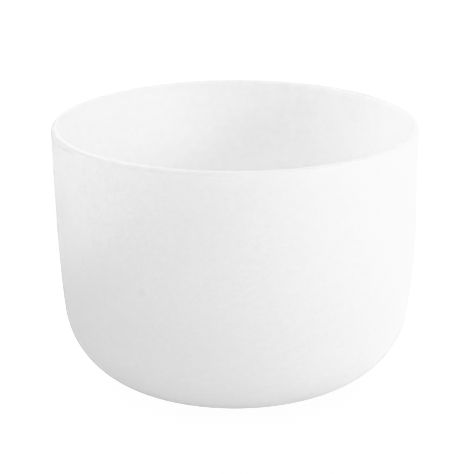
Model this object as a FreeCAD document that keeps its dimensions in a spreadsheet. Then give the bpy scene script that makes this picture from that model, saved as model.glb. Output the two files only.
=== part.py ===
# Frosted quartz singing bowl, 10 inch size.
#
# One seamless piece of fused quartz: a near-cylindrical wall that draws in slightly
# towards the bottom, a large-radius lower corner, a shallow domed floor and a small flat
# seat in the middle of the underside. The rim is cut square to the axis, with its outer
# edge well rounded and its inner edge only eased.
#
# Frame: origin at the centre of the flat seat, on the table plane. +Z is the bowl's
# axis and points up, out of the open mouth. Millimetres and degrees.
import FreeCAD, Part
import math
import os

import Sketcher

# Driving dimensions, then the values that follow from them.
DIMENSIONS = [
    # alias, value or formula, meaning
    ("rim_diameter", 254.0, "outside diameter at the rim (10 inch)"),
    ("bowl_height", 188.0, "seat plane to the top of the rim"),
    ("rim_wall", 4.0, "wall thickness at the rim"),
    ("corner_wall", 5.0, "outer corner radius minus inner corner radius"),
    ("floor_wall", 5.6, "thickness at the centre of the floor"),
    ("wall_draft", 0.95, "lean of the straight upper wall, degrees from vertical"),
    ("belly_radius", 665.0, "outer radius of the slow curve below the straight wall"),
    ("corner_radius", 58.5, "outer radius of the lower corner"),
    ("corner_sweep", 68.5, "angle the lower corner turns through, degrees"),
    ("dome_radius", 225.0, "outer radius of the domed underside"),
    ("dome_sweep", 15.0, "angle the domed underside turns through, degrees"),
    ("rim_round_out", 3.0, "rounding of the rim's outer edge"),
    ("rim_round_in", 0.6, "easing of the rim's inner edge"),
    ("rim_radius", "=rim_diameter / 2", "outside radius at the rim"),
    ("belly_sweep", "=90 - wall_draft - corner_sweep - dome_sweep",
     "angle the slow curve turns through, degrees"),
    ("cavity_rim_radius", "=rim_radius - rim_wall", "inside radius at the rim"),
    ("cavity_dome_radius", "=dome_radius - floor_wall", "inner radius of the domed floor"),
    ("cavity_corner_radius", "=corner_radius - corner_wall",
     "inner radius of the lower corner"),
    ("cavity_belly_radius", "=belly_radius - rim_wall", "inner radius of the slow curve"),
]

# The arcs of a half profile, from the seat up to the straight wall.
ARC_NAMES = ("dome", "corner", "belly")

# Share of the solid outer form that may be left once the cavity is cut.
MIN_QUARTZ_SHARE = 0.02
MAX_QUARTZ_SHARE = 0.25

EDGE_TOLERANCE = 0.01

# Sketcher's numbers for its fixed geometry and for the points of an element.
HORIZONTAL_AXIS, VERTICAL_AXIS = -1, -2
START, END = 1, 2
ORIGIN = (HORIZONTAL_AXIS, START)

doc = FreeCAD.newDocument("SingingBowl")


# ---------------------------------------------------------------- spreadsheet
def dimension_sheet():
    """Fill the spreadsheet and return its evaluated values by alias."""
    sheet = doc.addObject("Spreadsheet::Sheet", "Dims")
    sheet.Label = "Dims"
    for cell, heading in (("A1", "alias"), ("B1", "value"), ("C1", "meaning")):
        sheet.set(cell, heading)
    for row, (alias, content, meaning) in enumerate(DIMENSIONS, start=2):
        sheet.set(f"A{row}", alias)
        sheet.set(f"B{row}", str(content))
        sheet.set(f"C{row}", meaning)
        sheet.setAlias(f"B{row}", alias)
    doc.recompute()
    return {alias: float(getattr(sheet, alias)) for alias, _, _ in DIMENSIONS}


# ---------------------------------------------------------------- half profiles
def starting_geometry(rim_radius, floor_height, arc_radii):
    """Closed outline in sketch order: flat, three arcs, leaning wall, top, axis.

    Each curve up to the wall is tangent to the next. The chain is laid out from the
    axis, then moved outwards so that the wall meets the rim; that shift is the
    radius of the flat."""
    arcs = []
    heading = x = 0.0
    z = floor_height
    for name, radius in zip(ARC_NAMES, arc_radii):
        start = math.radians(heading)
        heading += size[name + "_sweep"]
        end = math.radians(heading)
        centre_x = x - radius * math.sin(start)
        centre_z = z + radius * math.cos(start)
        x = centre_x + radius * math.sin(end)
        z = centre_z - radius * math.cos(end)
        # A heading is tangent to the arc, a quarter turn ahead of the arc's own angle.
        arcs.append((centre_x, centre_z, radius, start - math.pi / 2, end - math.pi / 2))

    top = size["bowl_height"]
    lean = (top - z) * math.tan(math.radians(size["wall_draft"]))
    flat_radius = rim_radius - x - lean

    def point(along, up):
        return FreeCAD.Vector(along, up, 0)

    def line(*ends):
        return Part.LineSegment(*(point(*end) for end in ends))

    def arc(centre_x, centre_z, radius, start, end):
        centre = point(centre_x + flat_radius, centre_z)
        circle = Part.Circle(centre, FreeCAD.Vector(0, 0, 1), radius)
        return Part.ArcOfCircle(circle, start, end)

    return [
        line((0, floor_height), (flat_radius, floor_height)),
        *(arc(*values) for values in arcs),
        line((x + flat_radius, z), (rim_radius, top)),
        line((rim_radius, top), (0, top)),
        line((0, top), (0, floor_height)),
    ]


def half_profile(side, alias_prefix="", floor_alias=None):
    """Fully constrained half section on the axial plane.

    `side` names the sketch and its constraints, `alias_prefix` picks the radii in the
    sheet, and `floor_alias` is the height of the flat, or None for the table plane."""
    rim_alias = alias_prefix + "rim_radius"
    arc_aliases = [f"{alias_prefix}{name}_radius" for name in ARC_NAMES]
    floor_height = size[floor_alias] if floor_alias else 0.0

    sketch = body.newObject("Sketcher::SketchObject", side + "_profile")
    sketch.AttachmentSupport = [(axial_plane, "")]
    sketch.MapMode = "FlatFace"
    geometry = starting_geometry(
        size[rim_alias], floor_height, [size[alias] for alias in arc_aliases])
    outline = [sketch.addGeometry(curve, False) for curve in geometry]
    flat, *arcs, wall, top, axis = outline

    def constrain(*definition):
        return sketch.addConstraint(Sketcher.Constraint(*definition))

    def drive(label, expression, *definition):
        """Add a named constraint whose value follows the sheet."""
        name = f"{side}_{label}"
        sketch.renameConstraint(constrain(*definition), name)
        sketch.setExpression("Constraints." + name, expression)

    smooth = [flat, *arcs, wall]
    for lower, upper in zip(smooth, smooth[1:]):
        constrain("Tangent", lower, END, upper, START)
    for first, second in ((wall, top), (top, axis), (axis, flat)):
        constrain("Coincident", first, END, second, START)
    constrain("Horizontal", flat)
    constrain("Horizontal", top)
    constrain("PointOnObject", flat, START, VERTICAL_AXIS)
    constrain("PointOnObject", top, END, VERTICAL_AXIS)

    drive("rim_radius", "Dims." + rim_alias,
          "DistanceX", *ORIGIN, wall, END, size[rim_alias])
    drive("rim_height", "Dims.bowl_height",
          "DistanceY", *ORIGIN, top, START, size["bowl_height"])
    if floor_alias:
        drive("floor_height", "Dims." + floor_alias,
              "DistanceY", *ORIGIN, flat, START, floor_height)
    else:
        constrain("PointOnObject", flat, START, HORIZONTAL_AXIS)
    for name, arc, alias in zip(ARC_NAMES, arcs, arc_aliases):
        drive(name + "_radius", "Dims." + alias, "Radius", arc, size[alias])
    for name, arc in zip(ARC_NAMES, arcs):
        sweep = name + "_sweep"
        drive(sweep, f"Dims.{sweep} * 1 deg", "Angle", arc, math.radians(size[sweep]))
    doc.recompute()
    return sketch


# ---------------------------------------------------------------- features
def full_turn(feature_type, name, profile):
    """Turn a half profile all the way round the bowl's axis."""
    feature = body.newObject(feature_type, name)
    feature.Profile = profile
    feature.ReferenceAxis = (profile, ["V_Axis"])
    feature.Angle = 360.0
    doc.recompute()
    return feature


def rim_edge(feature, radius):
    """Name of the circular edge of that radius in the rim plane."""
    for number, edge in enumerate(feature.Shape.Edges, start=1):
        if (isinstance(edge.Curve, Part.Circle)
                and abs(edge.Curve.Radius - radius) < EDGE_TOLERANCE
                and abs(edge.Curve.Center.z - size["bowl_height"]) < EDGE_TOLERANCE):
            return f"Edge{number}"
    raise RuntimeError(f"no rim edge of radius {radius:g}")


def round_rim(name, base, edge_radius, round_alias):
    """Fillet the rim edge of `edge_radius` by the sheet value `round_alias`."""
    fillet = body.newObject("PartDesign::Fillet", name)
    fillet.Base = (base, [rim_edge(base, edge_radius)])
    fillet.setExpression("Radius", "Dims." + round_alias)
    doc.recompute()
    return fillet


# ---------------------------------------------------------------- the bowl
size = dimension_sheet()

body = doc.addObject("PartDesign::Body", "bowl")
body.Label = "bowl"
axial_plane = next(o for o in body.Origin.OriginFeatures if o.Role == "XZ_Plane")

outer_profile = half_profile("outer")
outer_form = full_turn("PartDesign::Revolution", "outer_form", outer_profile)

cavity_profile = half_profile("cavity", "cavity_", "floor_wall")
hollow = full_turn("PartDesign::Groove", "cavity", cavity_profile)

outer_round = round_rim("rim_outer_round", hollow, size["rim_radius"], "rim_round_out")
inner_round = round_rim(
    "rim_inner_round", outer_round, size["cavity_rim_radius"], "rim_round_in")
body.Tip = inner_round
doc.recompute()

# ---------------------------------------------------------------- checks and export
for obj in doc.Objects:
    if "Invalid" in obj.State or "Error" in obj.State:
        raise RuntimeError(f"{obj.Name} failed: {obj.State}")
for sketch in (outer_profile, cavity_profile):
    if not sketch.FullyConstrained:
        raise RuntimeError(f"{sketch.Name} is not fully constrained")
quartz_share = hollow.Shape.Volume / outer_form.Shape.Volume
if not MIN_QUARTZ_SHARE < quartz_share < MAX_QUARTZ_SHARE:
    raise RuntimeError("the cavity did not cut the outer form")
if not inner_round.Shape.Volume < outer_round.Shape.Volume < hollow.Shape.Volume:
    raise RuntimeError("a rim rounding removed nothing")
shape = body.Shape
if shape.isNull() or not shape.isValid() or len(shape.Solids) != 1:
    raise RuntimeError("the bowl is not one valid solid")

os.makedirs("parts", exist_ok=True)
shape.exportStep(os.path.join("parts", body.Label + ".step"))
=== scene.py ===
"""A frosted fused-quartz bowl: a flat seat, a rounded corner and a nearly upright wall.

The bowl stands on z = 0 with its axis on z. Front, the camera's side, is -y and right
is +x. The mesh is in metres; the half profile is worked out in millimetres.
"""
import math
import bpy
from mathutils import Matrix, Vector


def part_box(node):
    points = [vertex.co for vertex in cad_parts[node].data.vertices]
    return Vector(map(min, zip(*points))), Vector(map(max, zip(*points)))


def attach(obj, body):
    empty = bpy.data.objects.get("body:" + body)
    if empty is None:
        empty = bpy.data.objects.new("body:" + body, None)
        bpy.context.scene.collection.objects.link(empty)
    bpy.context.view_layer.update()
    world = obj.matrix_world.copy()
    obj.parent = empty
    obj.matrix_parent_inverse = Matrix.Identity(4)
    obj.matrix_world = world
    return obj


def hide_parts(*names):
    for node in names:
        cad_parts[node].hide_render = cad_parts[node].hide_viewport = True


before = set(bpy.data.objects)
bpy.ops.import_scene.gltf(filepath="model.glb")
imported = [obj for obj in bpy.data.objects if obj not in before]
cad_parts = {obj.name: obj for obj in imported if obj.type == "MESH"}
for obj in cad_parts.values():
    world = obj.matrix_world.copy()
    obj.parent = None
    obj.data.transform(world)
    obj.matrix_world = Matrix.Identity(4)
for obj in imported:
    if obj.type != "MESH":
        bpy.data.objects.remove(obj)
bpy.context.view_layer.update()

from types import SimpleNamespace

import bpy
import numpy as np
from mathutils import Matrix, Vector, noise

LOW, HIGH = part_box("bowl")
HEIGHT = HIGH.z - LOW.z
HEIGHT_MM = HEIGHT * 1000.0
RIM_MM = 127.0                    # nominal outer radius at the rim
RIM_R = RIM_MM / 1000.0
MID = Vector((0, 0, HEIGHT / 2))

# ------------------------------------------------------------------ half profile
# Each side is a tangent chain: flat seat, dome arc, corner arc, slow belly arc,
# leaning wall. Angles in degrees, lengths in millimetres.
WALL = 4.0                        # thickness of the wall
FLOOR = 5.6                       # thickness at the axis
DRAFT = 0.95                      # lean of the wall from upright
DOME_SWEEP = 15.0
CORNER_SWEEP = 68.5
BELLY_SWEEP = 90.0 - DRAFT - CORNER_SWEEP - DOME_SWEEP
# rim radius, height at the axis, and the radii of the three arcs
OUTER = dict(rim=RIM_MM, floor=0.0, dome=225.0, corner=58.5, belly=665.0)
INNER = dict(rim=RIM_MM - WALL, floor=FLOOR, dome=225.0 - FLOOR, corner=53.5,
             belly=665.0 - WALL)
ROUND_OUT, ROUND_IN = 3.0, 0.6    # edge radii of the rim
DENSE = 0.4                       # point spacing along a chain

SEGMENTS = 480                    # round the rim; halved towards the axis
FEWEST_SEGMENTS = 30
SHORTEST_EDGE = 0.55              # as a share of the edge length at the rim
RING_STEP = 2.55                  # spacing of the rings along the profile
FINE_END = 3.0                    # length under the rim that gets finer rings
FINE_STOPS = np.array([0.4, 0.7, 1.0])
EDGE_PICK = [4, 8, 12, 16, 20, 23]   # the points kept out of the 24 on an edge arc
OUTSIDE, RIM, INSIDE = 0.0, 1.0, 2.0     # zones


def chain(side, top):
    """Dense points (radius, z) of one side, from the axis to height `top` on the wall."""
    x, z, heading = 0.0, side["floor"], 0.0
    arcs = []
    for radius, sweep in ((side["dome"], DOME_SWEEP), (side["corner"], CORNER_SWEEP),
                          (side["belly"], BELLY_SWEEP)):
        start, end = math.radians(heading), math.radians(heading + sweep)
        centre_x = x - radius * math.sin(start)
        centre_z = z + radius * math.cos(start)
        angles = np.linspace(start, end, max(8, int(radius * (end - start) / DENSE)))
        arcs.append(np.stack([centre_x + radius * np.sin(angles),
                              centre_z - radius * np.cos(angles)], 1))
        x, z = arcs[-1][-1]
        heading += sweep
    lean = math.tan(math.radians(DRAFT))
    # moving the arcs out to meet the rim radius leaves the flat seat
    seat_r = side["rim"] - x - (HEIGHT_MM - z) * lean
    curve = np.concatenate(arcs)
    curve[:, 0] += seat_r
    wall_z = np.arange(z, top, DENSE)[1:]
    wall = np.stack([x + seat_r + (wall_z - z) * lean, wall_z], 1)
    end = [[x + seat_r + (top - z) * lean, top]]
    seat_x = np.arange(0.0, seat_r, DENSE)
    seat = np.stack([seat_x, np.full(len(seat_x), side["floor"])], 1)
    return np.concatenate([seat, curve, wall, end])


def edge_arc(side, radius, outwards):
    """Rounding between the wall and the level rim. `outwards` is 1 outside, -1 inside."""
    draft = math.radians(DRAFT)
    centre_x = side["rim"] - (radius * math.tan(draft)) - outwards * radius / math.cos(draft)
    centre_z = HEIGHT_MM - radius
    start = -draft if outwards > 0 else math.pi - draft
    angles = np.linspace(start, math.pi / 2, 24)
    return np.stack([centre_x + radius * np.cos(angles),
                     centre_z + radius * np.sin(angles)], 1)


def rings(points):
    """One point per ring from the axis outwards, finer over the last few mm."""
    steps = np.hypot(*np.diff(points, axis=0).T)
    points = points[np.concatenate([[True], steps > 1e-9])]
    along = np.concatenate([[0], np.cumsum(np.hypot(*np.diff(points, axis=0).T))])
    coarse = along[-1] - FINE_END
    stops = np.linspace(0, coarse, int(round(coarse / RING_STEP)) + 1)
    stops = np.concatenate([stops, coarse + FINE_END * FINE_STOPS])
    return np.stack([np.interp(stops, along, points[:, axis]) for axis in (0, 1)], 1)


def full_profile():
    """Points from the seat up the outside and down the inside, and the zone of each."""
    edge_out = edge_arc(OUTER, ROUND_OUT, 1)
    edge_in = edge_arc(INNER, ROUND_IN, -1)
    outside = rings(chain(OUTER, edge_out[0, 1]))
    inside = rings(chain(INNER, edge_in[0, 1]))
    rim = np.concatenate([edge_out[EDGE_PICK], [(edge_out[-1] + edge_in[-1]) / 2],
                          edge_in[EDGE_PICK][::-1]])
    zone = np.repeat([OUTSIDE, RIM, INSIDE], [len(outside), len(rim), len(inside)])
    return np.concatenate([outside, rim, inside[::-1]]), zone


# ------------------------------------------------------------------ plain mesh
def segments_at(radius):
    count = SEGMENTS
    shortest = SHORTEST_EDGE * (2 * math.pi * RIM_MM / SEGMENTS)
    while count > FEWEST_SEGMENTS and 2 * math.pi * radius / count < shortest:
        count //= 2
    return count


def join(lower, upper):
    """Faces between two rings, wound to face outwards for a profile that runs from the
    seat up the outside and down the inside. A ring may be one point, or have as many
    points as the other, half or twice."""
    a, b = len(lower), len(upper)
    if a == 1:
        return [(lower[0], upper[(k + 1) % b], upper[k]) for k in range(b)]
    if b == 1:
        return [(lower[k], lower[(k + 1) % a], upper[0]) for k in range(a)]
    if a == b:
        return [(lower[k], lower[(k + 1) % a], upper[(k + 1) % a], upper[k])
                for k in range(a)]
    out = []
    if b == 2 * a:
        for k in range(a):
            after = lower[(k + 1) % a]
            f0, f1, f2 = upper[2 * k], upper[2 * k + 1], upper[(2 * k + 2) % b]
            out += [(lower[k], f1, f0), (lower[k], after, f1), (after, f2, f1)]
        return out
    for k in range(b):
        after = upper[(k + 1) % b]
        f0, f1, f2 = lower[2 * k], lower[2 * k + 1], lower[(2 * k + 2) % a]
        out += [(f0, f1, upper[k]), (f1, after, upper[k]), (f1, f2, after)]
    return out


def spin(profile, profile_zone):
    """Vertices, faces and vertex zones of the profile turned round the axis."""
    verts, faces, zones, ring_index = [], [], [], []
    for (radius, z), zone in zip(profile, profile_zone):
        if radius < 0.3:
            ring = [(0.0, 0.0, z / 1000.0)]
        else:
            count = segments_at(radius)
            ring = [(radius * math.cos(t) / 1000.0, radius * math.sin(t) / 1000.0, z / 1000.0)
                    for t in np.arange(count) * 2 * math.pi / count]
        ring_index.append(list(range(len(verts), len(verts) + len(ring))))
        verts += ring
        zones += [zone] * len(ring)
    for lower, upper in zip(ring_index[:-1], ring_index[1:]):
        faces += join(lower, upper)
    return np.array(verts, float), faces, np.array(zones)


def vertex_normals(points, faces):
    plain = bpy.data.meshes.new("plain")
    plain.from_pydata([tuple(v) for v in points], [], faces)
    plain.update()
    normals = np.zeros(len(points) * 3, np.float32)
    plain.vertices.foreach_get("normal", normals)
    bpy.data.meshes.remove(plain)
    return normals.reshape(-1, 3).astype(float)


# ------------------------------------------------------------------ hand-made form
SEAT_FLAT, SEAT_FADE = 0.018, 0.03   # radius kept flat, and the width it fades over, m
WALL_FROM, WALL_FADE = 0.05, 0.05    # radius where the slow form starts, and its fade, m
SLOW_PUSH = 0.00030                  # depth of the slow form, m
# swellings of the wall: side (1 right, -1 left), then (outward mm, height mm, width mm)
SWELLINGS = (
    (1, ((0.55, 100, 30), (-0.35, 166, 22), (0.65, 34, 18))),
    (-1, ((0.15, 160, 22), (-0.33, 92, 28))),
)
# fine relief along the normal: depth of the middle and of the fine noise, m
RELIEF_IN = (0.00005, 0.000014)
RELIEF_OUT = (0.00006, 0.000024)
RELIEF_RIM = 0.000012                # middle noise only
# rise of the rim, m: at the right, at the back, and extra at the back alone
TILT_RIGHT, TILT_BACK, BACK_RISE = -0.00045, 0.00015, 0.00095
TILT_FROM = 0.45                     # share of the height where the tilt starts


def hand_made(point, zone):
    """Slow, middle and fine noise at a point. The slow one is the same on both faces of
    the wall, so the wall keeps its thickness."""
    point = Vector(point)
    slow = noise.noise(point * 9.0 + Vector((3.1, 7.7, 1.3)))
    middle = noise.noise(point * 38.0 + Vector((11.0, 2.0, 5.0 + zone)))
    fine = noise.noise(point * 130.0 + Vector((4.0, 9.0, 2.0 + 3 * zone)))
    return slow, middle, fine


def hand_made_move(points, normals, zones):
    """How far each point of the plain form moves."""
    radial = np.hypot(points[:, 0], points[:, 1])
    outward = points[:, :2] / np.maximum(radial, 1e-6)[:, None]
    z_mm = points[:, 2] * 1000.0
    slow, middle, fine = np.array([hand_made(p, zone) for p, zone in zip(points, zones)]).T
    move = np.zeros_like(points)

    # the slow form, pushed outwards in the level plane
    push = SLOW_PUSH * slow
    for side, hills in SWELLINGS:
        lobe = np.clip(side * outward[:, 0], 0, 1) ** 1.5
        push += 0.001 * lobe * sum(depth * np.exp(-((z_mm - height) / width) ** 2)
                                   for depth, height, width in hills)
    wall_share = np.clip((radial - WALL_FROM) / WALL_FADE, 0, 1)
    move[:, :2] = outward * (push * wall_share)[:, None]

    # the mould's skin outside, a smoother fused skin inside; the seat stays flat
    inside = zones == INSIDE
    relief = np.where(inside, RELIEF_IN[0] * middle + RELIEF_IN[1] * fine,
                      RELIEF_OUT[0] * middle + RELIEF_OUT[1] * fine)
    relief = np.where(zones == RIM, RELIEF_RIM * middle, relief)
    seat_free = np.clip((radial - SEAT_FLAT) / SEAT_FADE, 0, 1) ** 2
    move += normals * (relief * np.where(inside, 1.0, seat_free))[:, None]

    # the rim was cut a fraction of a degree out of square
    cut = np.clip((points[:, 2] / HEIGHT - TILT_FROM) / (1.0 - TILT_FROM), 0, 1) ** 2
    back = np.clip(points[:, 1] / RIM_R, 0, 1) ** 1.5
    move[:, 2] += cut * (TILT_RIGHT * points[:, 0] / RIM_R + TILT_BACK * points[:, 1] / RIM_R
                         + BACK_RISE * back)
    return move


def build_bowl():
    points, faces, zones = spin(*full_profile())
    points += hand_made_move(points, vertex_normals(points, faces), zones)
    points[:, 2] = np.maximum(points[:, 2], 0.0)
    mesh = bpy.data.meshes.new("bowl_shell")
    mesh.from_pydata([tuple(v) for v in points], [], faces)
    mesh.update()
    mesh.polygons.foreach_set("use_smooth", [True] * len(mesh.polygons))
    for name, zone in (("zone_inside", INSIDE), ("zone_rim", RIM)):
        attribute = mesh.attributes.new(name, "FLOAT", "POINT")
        attribute.data.foreach_set("value", (zones == zone).astype(np.float32))
    bowl = bpy.data.objects.new("bowl_shell", mesh)
    bpy.context.scene.collection.objects.link(bowl)
    return bowl


# ------------------------------------------------------------------ node helper
class Nodes:
    """Builds a node tree. Any input may be given as a value or as a socket to link."""

    def __init__(self, owner):
        owner.use_nodes = True
        self.tree = owner.node_tree
        self.tree.nodes.clear()

    def put(self, socket, value):
        if isinstance(value, bpy.types.NodeSocket):
            self.tree.links.new(value, socket)
        else:
            socket.default_value = value

    def add(self, kind, inputs=None, **props):
        node = self.tree.nodes.new(kind)
        for key, value in props.items():
            setattr(node, key, value)
        for key, value in (inputs or {}).items():
            self.put(node.inputs[key], value)
        return node

    def math(self, operation, first, second=0.0, third=None, clamp=False):
        inputs = {0: first, 1: second}
        if third is not None:
            inputs[2] = third
        return self.add("ShaderNodeMath", inputs, operation=operation,
                        use_clamp=clamp).outputs[0]

    def scale_add(self, value, by, plus, clamp=False):
        return self.math("MULTIPLY_ADD", value, by, plus, clamp)

    def invert(self, value):
        return self.math("SUBTRACT", 1.0, value)

    def vector(self, operation, first, second=None):
        inputs = {0: first}
        if second is not None:
            inputs[1] = second
        node = self.add("ShaderNodeVectorMath", inputs, operation=operation)
        is_number = operation in ("DISTANCE", "LENGTH", "DOT_PRODUCT")
        return node.outputs["Value" if is_number else "Vector"]

    def rise(self, value, start, end, low=0.0, high=1.0):
        """Smooth step from `low` at `start` to `high` at `end`."""
        inputs = {"Value": value, "From Min": start, "From Max": end,
                  "To Min": low, "To Max": high}
        return self.add("ShaderNodeMapRange", inputs,
                        interpolation_type="SMOOTHSTEP").outputs[0]

    def fall(self, value, start, end):
        """Smooth step from 1 at `start` to 0 at `end`."""
        return self.rise(value, start, end, low=1.0, high=0.0)


# ------------------------------------------------------------------ quartz
WHITE = 0.965                                  # reflectance of the frosted surface
SCATTER = 0.040                                # how far light spreads in the wall, m
INCLUSION = (-0.06098, -0.10975, 0.10288)      # on the outside wall, left front
SHADE_LINE_HEIGHT = HEIGHT - 0.0030                   # height of a thin line under the rim: faintly darker all round, painted shade at the left


def surface_zones(nodes):
    position = nodes.add("ShaderNodeTexCoord").outputs["Object"]
    inner = nodes.add("ShaderNodeAttribute", attribute_name="zone_inside").outputs["Fac"]
    rim = nodes.add("ShaderNodeAttribute", attribute_name="zone_rim").outputs["Fac"]
    outer = nodes.invert(nodes.math("ADD", inner, rim, clamp=True))
    return SimpleNamespace(position=position, inner=inner, rim=rim, outer=outer)


def surface_marks(nodes, position):
    """The clouds, grains and dots that colour, roughness and relief share."""

    def moved(offset, stretch=(1, 1, 1)):
        return nodes.add("ShaderNodeMapping", {"Vector": position, "Location": offset,
                                               "Scale": stretch}).outputs[0]

    def cloud(scale, detail, offset, stretch=(1, 1, 1), rough=0.55):
        """Noise about zero, roughly -1 to 1."""
        texture = nodes.add("ShaderNodeTexNoise", {
            "Vector": moved(offset, stretch), "Scale": scale, "Detail": detail,
            "Roughness": rough})
        return nodes.scale_add(texture.outputs["Fac"], by=3.2, plus=-1.6)

    def dots(scale, size, share, offset):
        """Soft round dots, one in `share` of the cells, `size` of a cell across; 0 to 1."""
        cells = nodes.add("ShaderNodeTexVoronoi", {"Vector": moved(offset), "Scale": scale,
                                                   "Randomness": 1.0})
        dot = nodes.fall(cells.outputs["Distance"], start=size * 0.35, end=size)
        pick = nodes.add("ShaderNodeSeparateColor", {"Color": cells.outputs["Color"]})
        chosen = nodes.math("LESS_THAN", pick.outputs[0], share)
        return nodes.math("MULTIPLY", dot, chosen)

    return SimpleNamespace(
        # 60 mm clouds, 13 mm mottling, 5 mm flecks, 2.4 mm frost, 0.9 mm grain
        haze=cloud(scale=17.0, detail=2.0, offset=(0.3, 0.1, 0.7)),
        milk=cloud(scale=75.0, detail=3.0, offset=(0.9, 0.4, 0.2)),
        fleck=cloud(scale=190.0, detail=2.0, offset=(0.7, 0.5, 0.1), rough=0.5),
        sand=cloud(scale=420.0, detail=3.0, offset=(0.2, 0.8, 0.5), rough=0.65),
        grain=cloud(scale=1150.0, detail=2.0, offset=(0.6, 0.3, 0.9), rough=0.7),
        # level turning marks of the mould
        rings=cloud(scale=1.0, detail=4.0, offset=(0, 0, 0.37), stretch=(5, 5, 210),
                    rough=0.6),
        pits=dots(scale=95.0, size=0.075, share=0.16, offset=(0.15, 0.45, 0.05)),
        bubbles=dots(scale=130.0, size=0.085, share=0.22, offset=(0.55, 0.05, 0.35)),
        # faint 2 to 4 mm specks, darker and lighter
        dim=dots(scale=52.0, size=0.105, share=0.30, offset=(0.35, 0.65, 0.25)),
        bright=dots(scale=46.0, size=0.095, share=0.30, offset=(0.75, 0.15, 0.85)))


def mottled_tone(nodes, zones, marks):
    """Departure from plain white left by the marks and the one grey inclusion."""
    distance = nodes.vector("DISTANCE", zones.position, INCLUSION)
    wobble = nodes.math("MULTIPLY", marks.sand, 0.00035)
    core = nodes.fall(nodes.math("ADD", distance, wobble), start=0.0014, end=0.0046)
    halo = nodes.fall(distance, start=0.004, end=0.0085)
    tone = nodes.math("MULTIPLY", marks.haze, 0.010)
    # mark, strength, further strength on the outside
    for mark, strength, further in (
            (marks.milk, 0.012, 0), (marks.fleck, 0.017, 0),
            (marks.sand, 0.010, 0.018), (marks.grain, 0.006, 0.012),
            (marks.dim, -0.030, 0), (marks.bright, 0.022, 0), (marks.rings, 0.004, 0),
            (marks.pits, -0.055, 0), (marks.bubbles, 0.030, 0),
            (core, -0.070, 0), (halo, 0.006, 0)):
        if further:
            strength = nodes.scale_add(zones.outer, by=further, plus=strength)
        tone = nodes.scale_add(mark, by=strength, plus=tone)
    return tone


def surface_places(nodes, position):
    """Height, distance from the axis, and a mask by direction round the bowl."""
    top = nodes.add("ShaderNodeSeparateXYZ", {"Vector": position}).outputs[2]
    level = nodes.vector("MULTIPLY", position, (1.0, 1.0, 0.0))
    reach = nodes.vector("LENGTH", level)
    heading = nodes.vector("NORMALIZE", level)

    def toward(x, y, start, end):
        """1 in the direction (x, y); starts and ends at these cosines of the angle to it."""
        return nodes.rise(nodes.vector("DOT_PRODUCT", heading, (x, y, 0.0)), start, end)

    return SimpleNamespace(top=top, reach=reach, toward=toward)


def paint_rim_shade(nodes, zones, places, tone):
    """Painted shade on the rim and the last few mm of wall under it: least at the right
    front, which faces the key lights, most at the left and behind."""
    # painted shade: a band just under the rim, darker all round
    collar = nodes.rise(places.top, start=HEIGHT - 0.009, end=HEIGHT - 0.001)
    tone = nodes.scale_add(collar, by=-0.030, plus=tone)
    # this mask is 1 away from the right front, where the key lights stand; the rim's painted
    # shade deepens with it
    away_from_key = nodes.invert(places.toward(0.8, -0.6, start=0.35, end=0.75))
    left = places.toward(-0.98, -0.2, start=0.90, end=0.96)
    behind = places.toward(0.30, 0.95, start=0.66, end=0.86)
    # painted shade over the whole rim, deepest away from the key lights
    depth = nodes.scale_add(away_from_key, by=-0.058, plus=-0.080)
    tone = nodes.scale_add(zones.rim, by=depth, plus=tone)
    # the inner arris is spared that painted shade, leaving a painted highlight, except behind
    near_bore = nodes.fall(places.reach, start=RIM_R - 0.0036, end=RIM_R - 0.0028)
    arris = nodes.math("MULTIPLY", zones.rim, near_bore)
    not_behind = nodes.math("SUBTRACT", away_from_key, behind, clamp=True)
    depth = nodes.math("MULTIPLY", not_behind, 0.058)
    tone = nodes.scale_add(arris, by=depth, plus=tone)
    # behind, painted shade darkens the rim inside its outer edge
    within = nodes.fall(places.reach, start=RIM_R - 0.0020, end=RIM_R - 0.0014)
    crown = nodes.math("MULTIPLY", zones.rim, within)
    tone = nodes.scale_add(nodes.math("MULTIPLY", crown, behind), by=-0.140, plus=tone)
    # painted shade makes the rounded outer edge greyer still
    near_edge = nodes.rise(places.reach, start=RIM_R - 0.0022, end=RIM_R - 0.0008)
    eased = nodes.math("MULTIPLY", zones.rim, near_edge)
    depth = nodes.scale_add(away_from_key, by=-0.020, plus=-0.035)
    tone = nodes.scale_add(eased, by=depth, plus=tone)
    # a thin line 3 mm under the rim, faintly darker all round; painted shade makes it much
    # darker at the left
    offset = nodes.math("ABSOLUTE", nodes.math("SUBTRACT", places.top, SHADE_LINE_HEIGHT))
    line = nodes.math("MULTIPLY", nodes.fall(offset, start=0.0003, end=0.0011),
                      nodes.invert(zones.inner))
    depth = nodes.scale_add(left, by=-0.210, plus=-0.020)
    return nodes.scale_add(line, by=depth, plus=tone)


def painted_shade_veils(nodes, zones, tone):
    """Three broad, faint patches of painted shade."""
    off_outside = nodes.invert(zones.outer)
    # centre, radius where it starts to fade, radius where it is gone, depth, zone:
    # inside under the back of the rim, outside high on the left front, and at the right
    # end of the back of the rim
    for centre, full, gone, depth, zone in (
            ((0.008, 0.121, 0.182), 0.015, 0.085, -0.185, zones.inner),
            ((-0.080, -0.097, 0.160), 0.010, 0.065, -0.060, zones.outer),
            ((0.100, 0.082, 0.188), 0.012, 0.038, -0.130, off_outside)):
        # each patch is painted shade, greyer towards its centre
        distance = nodes.vector("DISTANCE", zones.position, centre)
        shade_veil = nodes.math("MULTIPLY", nodes.fall(distance, start=full, end=gone), zone)
        tone = nodes.scale_add(shade_veil, by=depth, plus=tone)
    return tone


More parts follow.
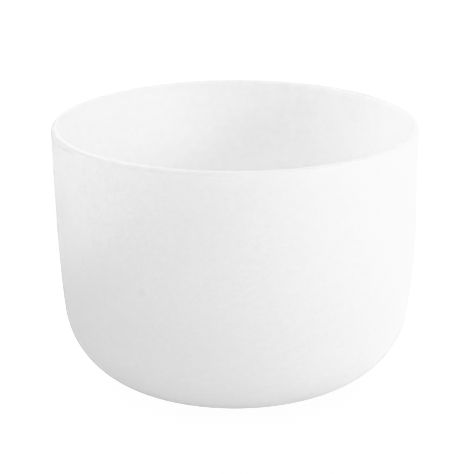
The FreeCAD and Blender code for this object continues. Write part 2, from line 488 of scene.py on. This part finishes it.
def painted_edge_shade(nodes, zones, places, tone):
    """Painted shade: a thin darker outline where the surface is seen edge-on."""
    edge = nodes.add("ShaderNodeLayerWeight", {"Blend": 0.5}).outputs["Facing"]
    # the painted shade is deeper low on the outside, away from the right
    low = nodes.math("MULTIPLY", nodes.fall(places.top, start=0.070, end=0.115), zones.outer)
    off_right = nodes.invert(places.toward(0.98, -0.2, start=0.3, end=0.8))
    shade = nodes.math("MULTIPLY", off_right, low)
    thin = nodes.rise(edge, start=0.86, end=0.96)
    depth = nodes.scale_add(shade, by=-0.320, plus=-0.080)
    tone = nodes.scale_add(thin, by=depth, plus=tone)
    # and painted shade in a wider band at the corner on the right
    right = places.toward(0.99, -0.10, start=0.88, end=0.96)
    foot = nodes.math("MULTIPLY", right, zones.outer)
    foot = nodes.math("MULTIPLY", foot, nodes.fall(places.top, start=0.030, end=0.060))
    wide = nodes.math("MULTIPLY", nodes.rise(edge, start=0.72, end=0.92), foot)
    return nodes.scale_add(wide, by=-0.260, plus=tone)


def quartz_roughness(nodes, zones, marks):
    """Matte outside, satin inside, ground rim."""
    rough = nodes.scale_add(zones.inner, by=-0.10, plus=0.66)
    rough = nodes.scale_add(zones.rim, by=-0.18, plus=rough)
    rough = nodes.scale_add(marks.sand, by=0.035, plus=rough)
    return nodes.scale_add(marks.milk, by=0.02, plus=rough, clamp=True)


def quartz_bump(nodes, zones, marks):
    """Relief too fine for the mesh, in metres; shallower on the rim."""
    depth = nodes.scale_add(zones.outer, by=0.000022, plus=0.000010)
    relief = nodes.math("MULTIPLY", marks.grain, depth)
    depth = nodes.scale_add(zones.outer, by=0.000026, plus=0.000010)
    relief = nodes.scale_add(marks.sand, by=depth, plus=relief)
    relief = nodes.scale_add(marks.rings, by=0.000006, plus=relief)
    relief = nodes.scale_add(marks.pits, by=-0.00012, plus=relief)
    rim_share = nodes.scale_add(zones.rim, by=-0.6, plus=1.0)
    relief = nodes.math("MULTIPLY", relief, rim_share)
    return nodes.add("ShaderNodeBump", {"Height": relief, "Distance": 1.0,
                                        "Strength": 1.0}).outputs[0]


def quartz():
    """Frosted fused quartz: white, matte and translucent."""
    material = bpy.data.materials.new("quartz_wall")
    nodes = Nodes(material)
    zones = surface_zones(nodes)
    marks = surface_marks(nodes, zones.position)
    tone = mottled_tone(nodes, zones, marks)
    places = surface_places(nodes, zones.position)
    tone = paint_rim_shade(nodes, zones, places, tone)
    tone = painted_shade_veils(nodes, zones, tone)
    tone = painted_edge_shade(nodes, zones, places, tone)
    white = nodes.math("ADD", tone, WHITE, clamp=True)
    blue = nodes.math("MULTIPLY", white, 0.9985)       # a trace of warmth
    colour = nodes.add("ShaderNodeCombineColor", {0: white, 1: white, 2: blue})
    bsdf = nodes.add("ShaderNodeBsdfPrincipled", {
        "Base Color": colour.outputs[0],
        "Roughness": quartz_roughness(nodes, zones, marks),
        "Normal": quartz_bump(nodes, zones, marks),
        "IOR": 1.46,
        "Subsurface Weight": 1.0,
        "Subsurface Radius": (1.0, 1.0, 1.0),
        "Subsurface Scale": SCATTER})
    nodes.add("ShaderNodeOutputMaterial", {0: bsdf.outputs[0]})
    return material


bowl = build_bowl()
bowl.data.materials.append(quartz())
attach(bowl, "root")
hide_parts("bowl")

# ------------------------------------------------------------------ stage
# Floor and room are paper white as the main camera sees them. From other sides they are
# a pale grey, so that a white bowl still stands out. Only camera rays see either.
FRONT_TILT = math.radians(18.5)
FRONT = (0.0, -math.cos(FRONT_TILT), math.sin(FRONT_TILT))    # to the camera
FRONT_FADE = dict(start=0.86, end=0.93)     # cosines between which grey turns to white
FLOOR_HALF = 30.0
ROOM = 0.900                                # light of the room on the bowl
ROOM_RIGHT, ROOM_TOP = 0.265, 0.0           # further light towards the right and the top


def floor_material():
    material = bpy.data.materials.new("floor")
    nodes = Nodes(material)
    diffuse = nodes.add("ShaderNodeBsdfDiffuse", {"Color": (0.82, 0.82, 0.82, 1)})
    geometry = nodes.add("ShaderNodeNewGeometry")
    facing = nodes.vector("DOT_PRODUCT", geometry.outputs["Incoming"], FRONT)
    front = nodes.rise(facing, **FRONT_FADE)
    # soft contact shadow
    near = nodes.add("ShaderNodeAmbientOcclusion", {"Distance": 0.28}, samples=12)
    open_gain = nodes.scale_add(front, by=-0.02, plus=0.30)
    shadow_level = nodes.scale_add(front, by=0.67, plus=0.45)
    lit = nodes.scale_add(near.outputs["AO"], by=open_gain, plus=shadow_level)
    glow = nodes.add("ShaderNodeEmission", {"Strength": lit})
    path = nodes.add("ShaderNodeLightPath")
    seen = nodes.add("ShaderNodeMixShader", {0: path.outputs["Is Camera Ray"],
                                             1: diffuse.outputs[0], 2: glow.outputs[0]})
    # clear from below
    clear = nodes.add("ShaderNodeBsdfTransparent")
    sided = nodes.add("ShaderNodeMixShader", {0: geometry.outputs["Backfacing"],
                                              1: seen.outputs[0], 2: clear.outputs[0]})
    nodes.add("ShaderNodeOutputMaterial", {0: sided.outputs[0]})
    return material


def build_floor():
    mesh = bpy.data.meshes.new("floor")
    corners = [(x * FLOOR_HALF, y * FLOOR_HALF, 0)
               for x, y in ((-1, -1), (1, -1), (1, 1), (-1, 1))]
    mesh.from_pydata(corners, [], [(0, 1, 2, 3)])
    floor = bpy.data.objects.new("floor", mesh)
    bpy.context.scene.collection.objects.link(floor)
    mesh.materials.append(floor_material())


def build_room():
    """A white room, brighter towards the right."""
    world = bpy.data.worlds.new("studio")
    bpy.context.scene.world = world
    nodes = Nodes(world)
    direction = nodes.add("ShaderNodeTexCoord").outputs["Generated"]
    axes = nodes.add("ShaderNodeSeparateXYZ", {0: direction})
    level = ROOM
    for axis, gain in ((0, ROOM_RIGHT), (2, ROOM_TOP)):
        side = nodes.math("MAXIMUM", axes.outputs[axis], 0.0)
        level = nodes.scale_add(side, by=gain, plus=level)
    room = nodes.add("ShaderNodeBackground", {"Strength": level})
    ahead = nodes.vector("DOT_PRODUCT", direction, tuple(-part for part in FRONT))
    backdrop = nodes.rise(ahead, low=0.94, high=2.0, **FRONT_FADE)
    seen = nodes.add("ShaderNodeBackground", {"Strength": backdrop})
    path = nodes.add("ShaderNodeLightPath")
    mix = nodes.add("ShaderNodeMixShader", {0: path.outputs["Is Camera Ray"],
                                            1: room.outputs[0], 2: seen.outputs[0]})
    nodes.add("ShaderNodeOutputWorld", {0: mix.outputs[0]})


build_floor()
build_room()

# ------------------------------------------------------------------ lights
LIGHT_DISTANCE = 2.0
# Name, azimuth, elevation, diameter in m, power in W. Azimuth 0 is the camera's side, 90
# its right. The key is a wide, low bank of three; the fill comes from behind.
LIGHTS = (
    ("key_front", 55, 15, 0.35, 4.6),
    ("key_middle", 70, 25, 0.35, 7.2),
    ("key_side", 85, 25, 0.35, 3.1),
    ("back_fill", 180, 32, 0.9, 3.8),
)


def soft_light(name, azimuth, elevation, diameter, power):
    """A round soft light aimed at the middle of the bowl."""
    turn, lift = math.radians(azimuth), math.radians(elevation)
    away = Vector((math.sin(turn) * math.cos(lift), -math.cos(turn) * math.cos(lift),
                   math.sin(lift)))
    light = bpy.data.lights.new(name, "AREA")
    light.shape = "DISK"
    light.size = diameter
    light.energy = power
    lamp = bpy.data.objects.new(name, light)
    lamp.location = MID + away * LIGHT_DISTANCE
    lamp.rotation_mode = "QUATERNION"
    lamp.rotation_quaternion = (-away).to_track_quat("-Z", "Y")
    bpy.context.scene.collection.objects.link(lamp)


for entry in LIGHTS:
    soft_light(*entry)

# ------------------------------------------------------------------ camera
CAMERA_LIFT = math.radians(18.476)
CAMERA_ROLL = math.radians(0.437)           # clockwise
CAMERA_DISTANCE = 10.0 * RIM_R              # from the middle of the bowl
SENSOR, LENS = 36.0, 136.218987             # mm
AIM_RIGHT, AIM_UP = 0.000763218, 0.00982421   # aim from the middle, across the view, m


def build_camera():
    data = bpy.data.cameras.new("camera")
    camera = bpy.data.objects.new("camera", data)
    bpy.context.scene.collection.objects.link(camera)
    bpy.context.scene.camera = camera
    data.sensor_width = SENSOR
    data.lens = LENS
    data.clip_start, data.clip_end = 0.05, 100.0

    back = Vector((0, -math.cos(CAMERA_LIFT), math.sin(CAMERA_LIFT)))
    right = Vector((1, 0, 0))
    up = Vector((0, math.sin(CAMERA_LIFT), math.cos(CAMERA_LIFT)))
    eye = MID + back * CAMERA_DISTANCE
    aim = MID + right * AIM_RIGHT + up * AIM_UP
    look = (eye - aim).normalized()
    level_right = (right - look * right.dot(look)).normalized()
    level_up = look.cross(level_right)
    cos_roll, sin_roll = math.cos(CAMERA_ROLL), math.sin(CAMERA_ROLL)
    rolled_right = level_right * cos_roll - level_up * sin_roll
    rolled_up = level_right * sin_roll + level_up * cos_roll
    turn = Matrix((rolled_right, rolled_up, look)).transposed()
    camera.matrix_world = Matrix.Translation(eye) @ turn.to_4x4()


build_camera()

# ------------------------------------------------------------------ tones
# A soft shoulder, so that the lit side of a white bowl stays below paper white.
CURVE_TOP = 2.0                             # scene value at the right end of the curve
# scene value, shown value; the curve's own ends are (0, 0) and (2, 1)
SHOULDER = ((0.4, 0.4), (0.70, 0.70), (0.791, 0.799), (0.856, 0.876), (0.922, 0.934),
            (0.956, 0.951), (0.991, 0.960), (1.05, 0.970), (1.15, 0.985), (1.25, 1.0))


def set_tones():
    view = bpy.context.scene.view_settings
    view.view_transform = "Standard"
    view.look = "None"
    view.exposure = 0.0
    view.gamma = 1.0
    view.use_curve_mapping = True
    tones = view.curve_mapping
    tones.white_level = (CURVE_TOP,) * 3
    curve = tones.curves[3]
    while len(curve.points) > 2:
        curve.points.remove(curve.points[1])
    for scene_value, shown in SHOULDER:
        curve.points.new(scene_value / CURVE_TOP, shown)
    for point in curve.points:
        point.handle_type = "AUTO_CLAMPED"
    tones.update()


set_tones()
